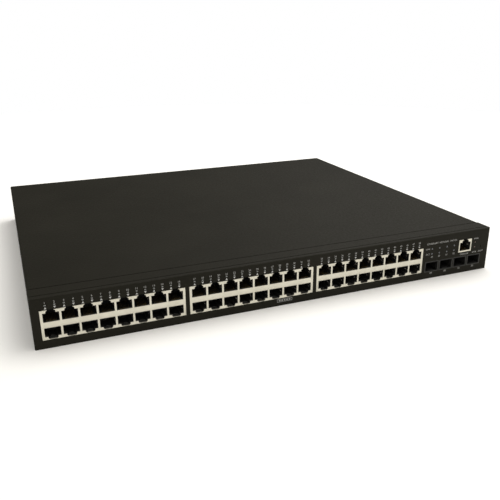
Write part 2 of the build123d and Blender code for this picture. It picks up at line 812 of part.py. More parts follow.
def psu_insulator():
    """Thin plastic sheet between the power supply and the tray, with standoff holes."""
    sheet = span(
        (PSU_X[0] - 1.0, PSU_X[1] + 2.0),
        (PSU_Y[0] - 4.0, PSU_Y[1] + 6.0),
        (TRAY_T, TRAY_T + 0.4),
    )
    for x, y in PSU_STANDOFFS:
        sheet -= rod_z(x, y, (0, TRAY_T + 2), 4.0)
    return sheet


def transformer():
    """Ferrite core with its bobbin and windings between the limbs."""
    x, y, z = TRANSFORMER_X, TRANSFORMER_Y, PCB_TOP
    half_y = CORE_D / 2
    core = span((x - CORE_W / 2, x + CORE_W / 2), (y - half_y, y + half_y), (z, z + CORE_H))
    window_x = (x - CORE_WINDOW / 2, x + CORE_WINDOW / 2)
    window_z = (z + 6.0, z + CORE_H - 6.0)
    return core - span(window_x, (y - half_y - 1, y + half_y + 1), window_z) + core_limb()


def core_limb():
    """Middle limb of the transformer's core."""
    x, y, z = TRANSFORMER_X, TRANSFORMER_Y, PCB_TOP
    limb_x = (x - CORE_LIMB / 2, x + CORE_LIMB / 2)
    return span(limb_x, (y - CORE_D / 2, y + CORE_D / 2), (z + 6.0, z + CORE_H - 6.0))


def transformer_winding():
    """Taped winding round the transformer's middle limb."""
    x, y, z = TRANSFORMER_X, TRANSFORMER_Y, PCB_TOP
    coil = span((x - 11.0, x + 11.0), (y - 20.0, y + 20.0), (z + 6.2, z + CORE_H - 6.2))
    coil = fillet(coil.edges().filter_by(Axis.Z), 4.0)
    return coil - core_limb()


def bulk_capacitors():
    """Two lying high-voltage cans and three upright output cans."""
    cans = []
    for y in (244.0, 266.0):
        can = rod_x(behind(y), PCB_TOP + 9.4, (162.0, 200.0), 9.0)
        cans.append(fillet(can.edges().filter_by(GeomType.CIRCLE), 0.8))
    for y in (244.0, 258.0, 272.0):
        cans.append(capacitor(80.0, behind(y), PCB_TOP, 5.0, 20.0))
    return cans


def psu_heatsinks():
    """Two upright aluminium plates with a folded foot."""
    sinks = []
    top = PCB_TOP + SINK_H
    for x in SINK_X:
        plate = span((x, x + 3.0), SINK_Y, (PCB_TOP, top))
        plate += span((x, x + 9.0), SINK_Y, (top - 3.0, top))
        sinks.append(plate)
    return sinks


def line_choke():
    """Ring-core line filter lying on the power supply's board."""
    top = PCB_TOP + CHOKE_H
    ring = rod_z(CHOKE_X, CHOKE_Y, (PCB_TOP, top), CHOKE_R)
    ring -= rod_z(CHOKE_X, CHOKE_Y, (PCB_TOP - 1, top + 1), CHOKE_HOLE_R)
    return fillet(ring.edges().filter_by(GeomType.CIRCLE).group_by(Axis.Z)[-1], 2.0)


def power_leads():
    """Flat run of two leads from the power supply to the main board."""
    leads = []
    z_low, z_high = PCB_TOP + PLUG_H, PCB_TOP + PLUG_H + 7.0
    y_front, y_back = (behind(y) for y in LEAD_Y)
    for x in LEAD_X:
        path = FilletPolyline(
            (x, y_front, z_low),
            (x, y_front, z_high),
            (x, y_back, z_high),
            (x, y_back, z_low),
            radius=4.0,
        )
        profile = Plane(origin=path @ 0, z_dir=path % 0) * Circle(LEAD_R)
        leads.append(sweep(profile, path=path))
    return leads


def lead_plugs():
    """Plug and header at each end of the power leads."""
    plug_x = (LEAD_X[0] - 3.5, LEAD_X[1] + 3.5)
    return [
        span(plug_x, (behind(y - 3.5), behind(y + 3.5)), (PCB_TOP, PCB_TOP + PLUG_H))
        for y in LEAD_Y
    ]


# ---------------------------------------------------------------- inlet, ground and fans
def ac_inlet():
    """Three-pin appliance inlet with its flange outside the rear panel."""
    y_out = REAR_Y + 1.6
    body = span(
        (INLET_X - INLET_W / 2, INLET_X + INLET_W / 2),
        (REAR_Y - 17.0, REAR_Y),
        (MID_Z - INLET_H / 2, MID_Z + INLET_H / 2),
    )
    flange = span(
        (INLET_X - FLANGE_W / 2, INLET_X + FLANGE_W / 2),
        (REAR_Y, y_out),
        (MID_Z - FLANGE_H / 2, MID_Z + FLANGE_H / 2),
    )
    flange = fillet(flange.edges().filter_by(Axis.Y), 3.0)
    mouth = span(
        (INLET_X - 12.1, INLET_X + 12.1),
        (REAR_Y - 14.0, y_out + 1),
        (MID_Z - 8.1, MID_Z + 8.1),
    )
    mouth = chamfer(mouth.edges().filter_by(Axis.Y).group_by(Axis.Z)[-1], 4.0)
    inlet = body + flange - mouth
    for side in (-1, 1):
        x = INLET_X + side * INLET_SCREW_PITCH / 2
        inlet -= rod_y(x, MID_Z, (REAR_Y - 1, y_out + 1), 1.6)
        inlet -= rod_y(x, MID_Z, (REAR_Y + 0.8, y_out + 1), 3.1)
    for x, z in INLET_PINS:
        inlet -= span((x - 1.0, x + 1.0), (REAR_Y - 18.0, REAR_Y - 13.0), (z - 2.0, z + 2.0))
    return inlet


INLET_PINS = [(INLET_X - 7.0, MID_Z - 2.5), (INLET_X, MID_Z + 2.5), (INLET_X + 7.0, MID_Z - 2.5)]


def inlet_pins():
    """Three flat blades of the inlet, with solder tails behind."""
    pins = []
    for x, z in INLET_PINS:
        blade = span((x - 1.0, x + 1.0), (REAR_Y - 22.0, REAR_Y - 2.0), (z - 2.0, z + 2.0))
        pins.append(chamfer(blade.edges().group_by(Axis.Y)[-1], 0.5))
    return pins


def ground_screw():
    """Earth screw with a washer under its head."""
    washer = rod_y(GROUND_X, GROUND_Z, (REAR_Y, REAR_Y + 0.8), 4.5)
    return washer + pan_screw(GROUND_X, GROUND_Z, REAR_Y + 0.8, 7.0, 1.95)


FAN_REAR = REAR_IN
FAN_FRONT = REAR_IN - FAN_D


def fan_frame(x):
    """Square fan housing with four struts that carry the motor's bearing tube."""
    half = FAN_SIZE / 2
    frame = span((x - half, x + half), (FAN_FRONT, FAN_REAR), (MID_Z - half, MID_Z + half))
    frame = fillet(frame.edges().filter_by(Axis.Y), 2.5)
    frame -= rod_y(x, MID_Z, (FAN_FRONT - 1, FAN_REAR + 1), FAN_BORE_R)
    for screw_x, screw_z in fan_screw_places(x):
        frame -= rod_y(screw_x, screw_z, (FAN_FRONT - 1, FAN_REAR + 1), 1.7)
    base_y = (FAN_REAR - 3.0, FAN_REAR - 0.6)
    frame += rod_y(x, MID_Z, base_y, HUB_R)
    for turn in (0, 90, 180, 270):
        strut = Pos((HUB_R + FAN_BORE_R) / 2, 0, 0) * Box(FAN_BORE_R - HUB_R + 1.2, 2.4, 2.2)
        frame += Pos(x, (base_y[0] + base_y[1]) / 2, MID_Z) * Rot(0, turn, 0) * strut
    frame += rod_y(x, MID_Z, (FAN_REAR - 14.0, FAN_REAR - 2.0), TUBE_R)
    return frame - rod_y(x, MID_Z, (FAN_REAR - 15.0, FAN_REAR - 2.6), SHAFT_R + SHAFT_FIT)


def fan_rotor(x):
    """Cup hub with its shaft and seven pitched blades."""
    hub_y = (FAN_FRONT + 1.2, FAN_REAR - 3.6)
    hub = rod_y(x, MID_Z, hub_y, HUB_R)
    hub = fillet(hub.edges().sort_by(Axis.Y)[:1], 1.0)
    middle_y = (hub_y[0] + hub_y[1]) / 2
    length = ROTOR_R - HUB_R + 1.0
    blade = Pos(HUB_R - 1.0 + length / 2, 0, 0) * Rot(42, 0, 0) * Box(length, 15.0, 1.0)
    for index in range(BLADES):
        hub += Pos(x, middle_y, MID_Z) * Rot(0, index * 360 / BLADES, 0) * blade
    hub &= rod_y(x, MID_Z, hub_y, ROTOR_R)
    hub -= rod_y(x, MID_Z, (hub_y[0] + 1.6, hub_y[1] + 1), HUB_R - 1.4)
    return hub + rod_y(x, MID_Z, (hub_y[0] + 1.0, FAN_REAR - 4.4), SHAFT_R)


def fan_stator(x):
    """Wound ring on the bearing tube, inside the rotor's cup."""
    y = (FAN_REAR - 13.0, FAN_REAR - 4.0)
    hole = rod_y(x, MID_Z, (y[0] - 1, y[1] + 1), TUBE_R + STATOR_FIT)
    return rod_y(x, MID_Z, y, STATOR_R) - hole


def rear_screws():
    """Four coarse screws for each fan and two for the inlet's flange."""
    screws = [
        pan_screw(screw_x, screw_z, REAR_Y, 9.0, 1.65)
        for x in FAN_X
        for screw_x, screw_z in fan_screw_places(x)
    ]
    for side in (-1, 1):
        x = INLET_X + side * INLET_SCREW_PITCH / 2
        screws.append(pan_screw(x, MID_Z, REAR_Y + 0.8, 5.0, 1.5))
    return screws


# ---------------------------------------------------------------- write everything
def main():
    os.makedirs("parts", exist_ok=True)
    save("front_panel", front_panel())
    save("base_tray", base_tray())
    save("rear_panel", rear_panel())
    save("top_cover", top_cover())
    save("cover_screws", *[cover_screw(s, y, z) for s in (-1, 1) for y, z in SIDE_SCREWS])
    save("ear_nuts", *[clinch_nut(s, y, z) for s in (-1, 1) for y, z in ear_holes()])
    for block in range(BLOCKS):
        save(f"port_housing_{block + 1}", port_housing(block))
        save(f"port_shield_{block + 1}", port_shield(block))
        save(f"port_contacts_{block + 1}", *port_contacts(block))
        save(f"port_light_pipe_{block + 1}", port_light_pipe(block))
    save("port_leds", *[led for block in range(BLOCKS) for led in port_leds(block)])
    save("console_housing", console_housing())
    save("console_shield", console_shield())
    save("console_contacts", console_contacts())
    save("console_board", console_board())
    save("board_pillars", *board_pillars())
    save("led_holders", *led_holders())
    save("led_lenses", *led_lenses())
    save("reset_switch", reset_switch())
    save("reset_button", reset_button())
    for index in range(CAGES):
        save(f"pluggable_cage_{index + 1}", pluggable_cage(index))
    save("pluggable_connectors", *[pluggable_connector(index) for index in range(CAGES)])
    save("main_board", main_board())
    save("standoffs", *[standoff(x, y) for x, y in STANDOFFS + PSU_STANDOFFS])
    save("board_screws", *[board_screw(x, y) for x, y in STANDOFFS + PSU_STANDOFFS])
    save("switch_chip", chip(CHIP_X, CHIP_Y, CHIP_SIZE, CHIP_H))
    sink_z = PCB_TOP + CHIP_H
    save("switch_heatsink", heatsink(CHIP_X, CHIP_Y, SWITCH_SINK, sink_z, 3.0, 26.0, 14, 1.2))
    save("board_chips", *[chip(x, PHY_Y, PHY_SIZE, PHY_H) for x in PHY_X], *memory_chips())
    chip_z = PCB_TOP + PHY_H
    save("port_heatsinks", *[heatsink(x, PHY_Y, PHY_SINK, chip_z, 2.0, 12.0, 7, 1.2) for x in PHY_X])
    save("magnetics", *magnetics())
    save("power_coils", *coils())
    save("psu_board", psu_board())
    save("psu_insulator", psu_insulator())
    save("transformer_core", transformer())
    save("transformer_winding", transformer_winding())
    save("capacitors", *bulk_capacitors(), *board_capacitors())
    save("psu_heatsinks", *psu_heatsinks())
    save("line_choke", line_choke())
    save("power_leads", *power_leads())
    save("lead_plugs", *lead_plugs())
    save("ac_inlet", ac_inlet())
    save("inlet_pins", *inlet_pins())
    save("ground_screw", ground_screw())
    for number, x in enumerate(FAN_X, start=1):
        save(f"fan_frame_{number}", fan_frame(x))
        save(f"fan_rotor_{number}", fan_rotor(x))
    save("fan_stators", *[fan_stator(x) for x in FAN_X])
    save("rear_screws", *rear_screws())


main()
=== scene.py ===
"""Looks of the rackmount network switch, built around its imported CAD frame.

Metres, in the frame of the CAD model: +X right, -Y out of the front, +Z up.
"""
import json
import math

import bmesh
import bpy
from mathutils import Euler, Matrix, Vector


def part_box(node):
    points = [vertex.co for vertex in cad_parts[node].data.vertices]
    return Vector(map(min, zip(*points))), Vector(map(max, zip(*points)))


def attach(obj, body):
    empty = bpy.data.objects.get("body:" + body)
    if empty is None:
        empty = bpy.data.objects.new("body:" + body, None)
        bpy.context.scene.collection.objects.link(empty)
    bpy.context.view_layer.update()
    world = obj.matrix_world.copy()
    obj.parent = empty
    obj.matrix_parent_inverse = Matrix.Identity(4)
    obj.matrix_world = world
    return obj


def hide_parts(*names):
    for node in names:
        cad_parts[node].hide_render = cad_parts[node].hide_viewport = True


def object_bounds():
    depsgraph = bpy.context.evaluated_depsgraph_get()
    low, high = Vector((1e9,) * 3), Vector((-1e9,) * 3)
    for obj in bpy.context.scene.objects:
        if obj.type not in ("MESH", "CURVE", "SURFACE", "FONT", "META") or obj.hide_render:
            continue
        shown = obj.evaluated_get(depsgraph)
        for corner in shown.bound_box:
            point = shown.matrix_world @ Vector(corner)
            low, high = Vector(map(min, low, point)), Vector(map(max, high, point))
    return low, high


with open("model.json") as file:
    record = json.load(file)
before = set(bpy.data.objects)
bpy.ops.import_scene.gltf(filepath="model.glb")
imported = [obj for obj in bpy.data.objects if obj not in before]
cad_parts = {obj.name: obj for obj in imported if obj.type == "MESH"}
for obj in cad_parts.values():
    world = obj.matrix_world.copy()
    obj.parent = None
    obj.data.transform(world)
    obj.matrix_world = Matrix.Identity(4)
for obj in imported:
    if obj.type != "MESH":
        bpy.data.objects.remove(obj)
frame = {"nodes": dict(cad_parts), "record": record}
CAD_BOX = [list(corner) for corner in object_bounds()]
NODES = frame["nodes"]
CHASSIS = "chassis"
MM = 0.001

# ---------------------------------------------------------------- places read from the frame
PANEL_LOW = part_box("front_panel")[0]
FACE_Y = PANEL_LOW.y
LEFT_X = PANEL_LOW.x
WELD = 0.002 * MM          # points closer than this are one point
BLOCKS = 3
COLUMNS = 8
PORT_PITCH = 14.1 * MM
LED_PITCH = PORT_PITCH / 2
LED_Z = 36.5 * MM
SOCKET_W = 12.1 * MM
SOCKET_H = 6.8 * MM
BAR_H = 5.7 * MM
CAGES = 4
FIRST_CAGE = 49
PRINT_T = 0.03 * MM
PRINT_Y = FACE_Y - PRINT_T


def from_left(x_mm):
    """X of a point given in millimetres from the panel's left end."""
    return LEFT_X + x_mm * MM


def middle_x(node):
    """X of the middle of a CAD node."""
    low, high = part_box(node)
    return (low.x + high.x) / 2


def block_middle(block):
    """Centre of a port block's face."""
    low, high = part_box(f"port_shield_{block + 1}")
    return Vector(((low.x + high.x) / 2, low.y, (low.z + high.z) / 2))


def sockets():
    """Centre of every copper socket and its direction: 1 for a notch above, -1 for below."""
    places = []
    for block in range(BLOCKS):
        middle = block_middle(block)
        for column in range(COLUMNS):
            x = middle.x + (column - (COLUMNS - 1) / 2) * PORT_PITCH
            for up in (1, -1):
                z = middle.z + up * (BAR_H + SOCKET_H) / 2
                places.append((block, x, z, up))
    return places


def islands(node):
    """Box of each separate solid in a CAD node, as (low, high), from left to right."""
    bm = bmesh.new()
    bm.from_mesh(NODES[node].data)
    bmesh.ops.remove_doubles(bm, verts=bm.verts, dist=WELD)
    left = set(bm.verts)
    boxes = []
    while left:
        start = left.pop()
        low, high = start.co.copy(), start.co.copy()
        waiting = [start]
        while waiting:
            for edge in waiting.pop().link_edges:
                for vertex in edge.verts:
                    if vertex in left:
                        left.remove(vertex)
                        waiting.append(vertex)
                        low = Vector(map(min, low, vertex.co))
                        high = Vector(map(max, high, vertex.co))
        boxes.append((low, high))
    bm.free()
    return sorted(boxes, key=lambda pair: (round(pair[0].x, 4), pair[0].z))


# ---------------------------------------------------------------- node helpers
class Graph:
    """Small builder for one material's nodes."""

    def __init__(self, name):
        self.material = bpy.data.materials.new(name)
        self.material.use_nodes = True
        self.nodes = self.material.node_tree.nodes
        self.links = self.material.node_tree.links
        self.shader = self.nodes["Principled BSDF"]
        self.place = self.nodes.new("ShaderNodeTexCoord").outputs["Object"]

    def link(self, output, socket):
        self.links.new(output, socket)

    def noise(self, size_mm, detail=3.0, rough=0.55, stretch=None):
        """Noise whose features are about size_mm wide, optionally stretched along an axis."""
        node = self.nodes.new("ShaderNodeTexNoise")
        node.inputs["Scale"].default_value = 1.0 / (size_mm * MM)
        node.inputs["Detail"].default_value = detail
        node.inputs["Roughness"].default_value = rough
        self.link(self.mapped(stretch), node.inputs["Vector"])
        return node.outputs["Fac"]

    def mapped(self, stretch):
        if stretch is None:
            return self.place
        node = self.nodes.new("ShaderNodeMapping")
        node.inputs["Scale"].default_value = stretch
        self.link(self.place, node.inputs["Vector"])
        return node.outputs["Vector"]

    def cells(self, size_mm):
        """Rounded cells about size_mm across, dark in the middle."""
        node = self.nodes.new("ShaderNodeTexVoronoi")
        node.feature = "SMOOTH_F1"
        node.inputs["Scale"].default_value = 1.0 / (size_mm * MM)
        node.inputs["Smoothness"].default_value = 0.6
        self.link(self.place, node.inputs["Vector"])
        return node.outputs["Distance"]

    def math(self, operation, first, second=None, clamp=False):
        node = self.nodes.new("ShaderNodeMath")
        node.operation = operation
        node.use_clamp = clamp
        for socket, value in zip(node.inputs, (first, second)):
            if value is None:
                continue
            if isinstance(value, (int, float)):
                socket.default_value = value
            else:
                self.link(value, socket)
        return node.outputs[0]

    def remap(self, value, low, high, to_low, to_high):
        node = self.nodes.new("ShaderNodeMapRange")
        node.inputs["From Min"].default_value = low
        node.inputs["From Max"].default_value = high
        node.inputs["To Min"].default_value = to_low
        node.inputs["To Max"].default_value = to_high
        self.link(value, node.inputs["Value"])
        return node.outputs["Result"]

    def blend(self, factor, first, second):
        """Colour between two colours, or between a colour socket and a colour."""
        node = self.nodes.new("ShaderNodeMix")
        node.data_type = "RGBA"
        self.link(factor, node.inputs["Factor"])
        for name, value in (("A", first), ("B", second)):
            socket = [s for s in node.inputs if s.name == name and s.type == "RGBA"][0]
            if isinstance(value, (tuple, list)):
                socket.default_value = (*value, 1.0)
            else:
                self.link(value, socket)
        return [s for s in node.outputs if s.type == "RGBA"][0]

    def axis(self, name):
        """One coordinate of the point, in metres."""
        node = self.nodes.new("ShaderNodeSeparateXYZ")
        self.link(self.place, node.inputs[0])
        return node.outputs[name]

    def bump(self, height, strength, depth_mm, under=None):
        node = self.nodes.new("ShaderNodeBump")
        node.inputs["Strength"].default_value = strength
        node.inputs["Distance"].default_value = depth_mm * MM
        self.link(height, node.inputs["Height"])
        if under is not None:
            self.link(under, node.inputs["Normal"])
        return node.outputs["Normal"]

    def set(self, **values):
        for name, value in values.items():
            socket = self.shader.inputs[name.replace("_", " ")]
            if isinstance(value, (int, float, tuple)):
                socket.default_value = value
            else:
                self.link(value, socket)
        return self


def moulded(name, dark, light, rough=(0.4, 0.55), specular=0.4, patch_mm=6.0):
    """Moulded plastic: faint flow patches, a fine spark-eroded grain and uneven gloss."""
    g = Graph(name)
    patches = g.remap(g.noise(patch_mm, 4.0), 0.3, 0.7, 0.0, 1.0)
    grain = g.noise(0.22, 2.0)
    g.set(Base_Color=g.blend(patches, dark, light))
    g.set(Roughness=g.remap(g.noise(1.8, 3.0), 0.3, 0.7, *rough), Specular_IOR_Level=specular)
    g.set(Normal=g.bump(grain, 0.25, 0.03))
    return g.material


def plated(name, dark, light, rough=(0.28, 0.42), along=(1.0, 1.0, 14.0), painted_shade_inside=None):
    """Rolled and plated sheet: streaks and clouded gloss, and, if given, a darker colour just
    behind the face, painted shade inside the sockets.
    """
    g = Graph(name)
    streaks = g.noise(1.2, 5.0, 0.65, stretch=along)
    cloud = g.noise(9.0, 3.0)
    tone = g.remap(g.math("ADD", streaks, cloud), 0.7, 1.3, 0.0, 1.0)
    colour = g.blend(tone, dark, light)
    if painted_shade_inside is not None:
        # painted shade: the sheet goes darker just behind the face, where it lies in shade in the
        # sockets' notches
        depth = g.remap(g.axis("Y"), FACE_Y + 0.1 * MM, FACE_Y + 0.6 * MM, 0.0, 1.0)
        colour = g.blend(depth, colour, painted_shade_inside)
    g.set(Base_Color=colour, Metallic=1.0)
    g.set(Roughness=g.remap(streaks, 0.35, 0.65, *rough))
    g.set(Normal=g.bump(streaks, 0.12, 0.02))
    return g.material


# ---------------------------------------------------------------- materials
def powder_coat(name, dark, light, specular, wear=True):
    """Fine-textured black powder coat, with dust-scale mottling and faintly rubbed edges."""
    g = Graph(name)
    broad = g.noise(70.0, 2.0)
    mottle = g.noise(2.2, 4.0, 0.6)
    tone = g.remap(g.math("ADD", broad, g.math("MULTIPLY", mottle, 0.7)), 0.6, 1.1, 0.0, 1.0)
    colour = g.blend(tone, dark, light)
    if wear:
        colour = g.blend(edge_rub(g), colour, (0.085, 0.083, 0.075))
    pebbles = g.cells(0.55)
    orange_peel = g.noise(0.9, 3.0, 0.5)
    low = g.bump(orange_peel, 0.4, 0.12)
    g.set(Base_Color=colour, Roughness=g.remap(mottle, 0.3, 0.7, 0.5, 0.66))
    g.set(Specular_IOR_Level=specular, Normal=g.bump(pebbles, 0.5, 0.10, under=low))
    return g.material


def edge_rub(g):
    """Mask, 1 on the case's outer folded edges, broken up by noise."""
    high = CAD_BOX[1]
    x = g.math("SUBTRACT", high[0], g.math("ABSOLUTE", g.axis("X")))
    top = g.math("SUBTRACT", high[2], g.axis("Z"))
    front = g.math("SUBTRACT", g.axis("Y"), FACE_Y)
    side_top = g.math("MAXIMUM", x, top)
    front_top = g.math("MAXIMUM", front, top)
    side_front = g.math("MAXIMUM", x, front)
    nearest = g.math("MINIMUM", side_top, g.math("MINIMUM", front_top, side_front))
    near = g.remap(nearest, 0.25 * MM, 0.75 * MM, 1.0, 0.0)
    broken = g.remap(g.noise(5.0, 6.0, 0.7), 0.48, 0.75, 0.0, 0.55)
    return g.math("MULTIPLY", near, broken, clamp=True)


def screen_print(name, dark, light):
    """Screen-printed ink, slightly starved in places."""
    g = Graph(name)
    starve = g.remap(g.noise(0.7, 4.0, 0.7), 0.35, 0.65, 0.0, 1.0)
    g.set(Base_Color=g.blend(starve, dark, light), Roughness=g.remap(starve, 0, 1, 0.5, 0.62))
    g.set(Specular_IOR_Level=0.3, Normal=g.bump(g.noise(0.18, 2.0), 0.3, 0.01))
    return g.material


def lamp_lens(name, dark, light, clear=0.25):
    """Frosted clear plastic of an unlit lamp or light pipe."""
    g = Graph(name)
    haze = g.remap(g.noise(0.6, 3.0), 0.3, 0.7, 0.0, 1.0)
    g.set(Base_Color=g.blend(haze, dark, light), Roughness=g.remap(haze, 0, 1, 0.18, 0.4))
    g.set(Transmission_Weight=clear, Specular_IOR_Level=0.5)
    g.set(Normal=g.bump(g.noise(0.3, 2.0), 0.15, 0.02))
    return g.material


def cage_metal(name):
    """Nickel cage, its metal darkened throughout to paint the shade inside it, and painted black
    where its rim lies on the panel.
    """
    g = Graph(name)
    streaks = g.noise(1.0, 5.0, 0.6, stretch=(14.0, 1.0, 1.0))
    # painted shade: nickel far darker than its own colour, standing for the shade inside the cage
    shade_darkened_metal = g.blend(streaks, (0.045, 0.045, 0.042), (0.10, 0.10, 0.095))
    rim = g.remap(g.axis("Y"), FACE_Y + 0.4 * MM, FACE_Y + 0.7 * MM, 1.0, 0.0)
    g.set(Base_Color=g.blend(rim, shade_darkened_metal, (0.013, 0.013, 0.0115)))
    g.set(Metallic=g.remap(rim, 0.0, 1.0, 0.9, 0.0), Specular_IOR_Level=0.15)
    g.set(Roughness=g.remap(streaks, 0.3, 0.7, 0.38, 0.55), Normal=g.bump(streaks, 0.1, 0.02))
    return g.material


def circuit_board(name, mask, copper):
    """Solder mask over a grid of faint copper tracks."""
    g = Graph(name)
    bricks = g.nodes.new("ShaderNodeTexBrick")
    bricks.inputs["Scale"].default_value = 1.0 / (9.0 * MM)
    bricks.inputs["Mortar Size"].default_value = 0.035
    g.link(g.place, bricks.inputs["Vector"])
    tracks = bricks.outputs["Fac"]
    cloud = g.noise(12.0, 3.0)
    tone = g.math("MULTIPLY", tracks, g.remap(cloud, 0.35, 0.65, 0.0, 0.8))
    g.set(Base_Color=g.blend(tone, mask, copper), Roughness=g.remap(cloud, 0.3, 0.7, 0.25, 0.4))
    g.set(Normal=g.bump(tracks, 0.3, 0.03))
    return g.material


MATERIALS = {
    "black_paint": powder_coat(
        "black_powder_coat", (0.0104, 0.0096, 0.0064), (0.0144, 0.0134, 0.0094), 0.075
    ),
    "black_screw": powder_coat(
        "blackened_steel", (0.02, 0.02, 0.02), (0.035, 0.034, 0.032), 0.5, wear=False
    ),
    "zinc_steel": plated("zinc_plate", (0.42, 0.43, 0.44), (0.62, 0.62, 0.6)),
    "lamp_white": lamp_lens("lamp_body", (0.7, 0.7, 0.65), (0.85, 0.85, 0.8), 0.0),
    # gold darkened well below its own colour: painted shade on the wires deep in the sockets
    "contact_gold": plated(
        "shade_darkened_gold_plate", (0.31, 0.22, 0.085), (0.44, 0.32, 0.135), (0.3, 0.42),
        along=(1.0, 1.0, 1.0)
    ),
    "board_green": circuit_board("green_solder_mask", (0.008, 0.05, 0.024), (0.03, 0.11, 0.04)),
    "black_plastic": moulded(
        "black_moulding", (0.010, 0.010, 0.010), (0.016, 0.016, 0.015), (0.45, 0.6), 0.35
    ),
    "clear_plastic": lamp_lens("clear_pipe", (0.16, 0.165, 0.16), (0.26, 0.265, 0.25), 0.2),
    "chip_black": moulded(
        "chip_package", (0.014, 0.014, 0.016), (0.024, 0.024, 0.026), (0.5, 0.62)
    ),
    "heatsink_metal": plated(
        "anodised_aluminium", (0.5, 0.5, 0.51), (0.66, 0.66, 0.66), (0.35, 0.5)
    ),
    "psu_board_brown": circuit_board("bare_laminate", (0.22, 0.13, 0.05), (0.3, 0.19, 0.08)),
    "insulator_film": moulded(
        "insulator_film", (0.5, 0.5, 0.46), (0.62, 0.62, 0.56), (0.2, 0.35)
    ),
    "ferrite": moulded("ferrite", (0.03, 0.03, 0.034), (0.06, 0.06, 0.062), (0.6, 0.75)),
    "winding_tape": moulded(
        "winding_tape", (0.5, 0.36, 0.04), (0.62, 0.46, 0.06), (0.25, 0.35)
    ),
    "capacitor_sleeve": moulded(
        "capacitor_sleeve", (0.012, 0.014, 0.04), (0.02, 0.022, 0.06), (0.2, 0.3)
    ),
    "lead_red": moulded("red_lead", (0.3, 0.02, 0.015), (0.42, 0.03, 0.02), (0.35, 0.5)),
    "plug_white": moulded("white_plug", (0.62, 0.61, 0.56), (0.74, 0.73, 0.68)),
    "pin_metal": plated("nickel_pin", (0.55, 0.52, 0.46), (0.72, 0.7, 0.64), (0.2, 0.32)),
    "winding_copper": plated(
        "enamelled_wire", (0.4, 0.16, 0.06), (0.6, 0.28, 0.12), (0.25, 0.4)
    ),
    # the tin goes darker behind the face: painted shade in the sockets' notches
    "shield_metal": plated(
        "tin_plate", (0.60, 0.575, 0.485), (0.70, 0.675, 0.58), (0.40, 0.55),
        along=(14.0, 1.0, 1.0), painted_shade_inside=(0.36, 0.36, 0.345)
    ),
}
INK = screen_print("white_ink", (0.30, 0.30, 0.29), (0.44, 0.44, 0.43))
INK_DIM = screen_print("thin_ink", (0.26, 0.26, 0.25), (0.40, 0.40, 0.39))
INK_BRIGHT = screen_print("bright_ink", (0.36, 0.36, 0.35), (0.50, 0.50, 0.49))
INK_GREY = screen_print("grey_ink", (0.05, 0.05, 0.048), (0.08, 0.08, 0.076))
CAGE = cage_metal("cage_nickel")
LENS_BLUE = lamp_lens("cool_lens", (0.10, 0.105, 0.115), (0.17, 0.18, 0.195))
LENS_AMBER = lamp_lens("warm_lens", (0.06, 0.032, 0.022), (0.10, 0.055, 0.04))
SPRING = plated("bright_spring", (0.66, 0.65, 0.6), (0.8, 0.79, 0.74), (0.3, 0.42))


# ---------------------------------------------------------------- piece helpers
def finish_piece(piece, material, body=CHASSIS, replaces=()):
    """Give a new piece its material, its body and the nodes it stands for."""
    piece.data.materials.clear()
    piece.data.materials.append(material)
    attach(piece, body)
    if replaces:
        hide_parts(*replaces)
    return piece


def piece_from(name, mesh_builder, smooth_deg=35.0):
    """Object made from a bmesh, smooth-shaded except across sharp edges."""
    mesh = bpy.data.meshes.new(name)
    mesh_builder.to_mesh(mesh)
    mesh_builder.free()
    mesh.shade_smooth()
    mesh.set_sharp_from_angle(angle=math.radians(smooth_deg))
    piece = bpy.data.objects.new(name, mesh)
    bpy.context.scene.collection.objects.link(piece)
    return piece


def softened(node, width_mm, segments=2, corner_deg=40.0):
    """Copy of a CAD node's mesh with every sharp edge rounded."""
    bm = bmesh.new()
    bm.from_mesh(NODES[node].data)
    bmesh.ops.remove_doubles(bm, verts=bm.verts, dist=WELD)
    bmesh.ops.dissolve_limit(
        bm, angle_limit=math.radians(1.0), verts=bm.verts, edges=bm.edges
    )
    corner = math.radians(corner_deg)
    sharp = [e for e in bm.edges if e.is_manifold and e.calc_face_angle(0.0) > corner]
    bmesh.ops.bevel(
        bm, geom=sharp, offset=width_mm * MM, segments=segments, profile=0.5,
        affect="EDGES", clamp_overlap=True, miter_outer="ARC",
    )
    bmesh.ops.triangulate(bm, faces=[f for f in bm.faces if len(f.verts) > 4])
    return piece_from(node + "_finished", bm)


def thicken(bm, outwards, thickness):
    """Turn flat faces to look outwards and give them a back at that thickness."""
    bmesh.ops.recalc_face_normals(bm, faces=bm.faces)
    flipped = [f for f in bm.faces if f.normal.dot(outwards) < 0]
    bmesh.ops.reverse_faces(bm, faces=flipped)
    made = bmesh.ops.extrude_face_region(bm, geom=list(bm.faces))
    moved = [v for v in made["geom"] if isinstance(v, bmesh.types.BMVert)]
    bmesh.ops.translate(bm, verts=moved, vec=-outwards * thickness)
    bmesh.ops.recalc_face_normals(bm, faces=bm.faces)


def tube(bm, points, radius, sides=8, flat=1.0):
    """Closed tube through points that share one X plane; flat squeezes it across the path."""
    rings = []
    for index, point in enumerate(points):
        ahead = points[min(index + 1, len(points) - 1)] - points[max(index - 1, 0)]
        across = Vector((1, 0, 0))
        normal = across.cross(ahead).normalized()
        ring = []
        for side in range(sides):
            turn = 2 * math.pi * side / sides
            offset = across * math.cos(turn) * radius + normal * math.sin(turn) * radius * flat
            ring.append(bm.verts.new(point + offset))
        rings.append(ring)
    for first, second in zip(rings, rings[1:]):
        for side in range(sides):
            other = (side + 1) % sides
            bm.faces.new((first[side], first[other], second[other], second[side]))
    bm.faces.new(list(reversed(rings[0])))
    bm.faces.new(rings[-1])


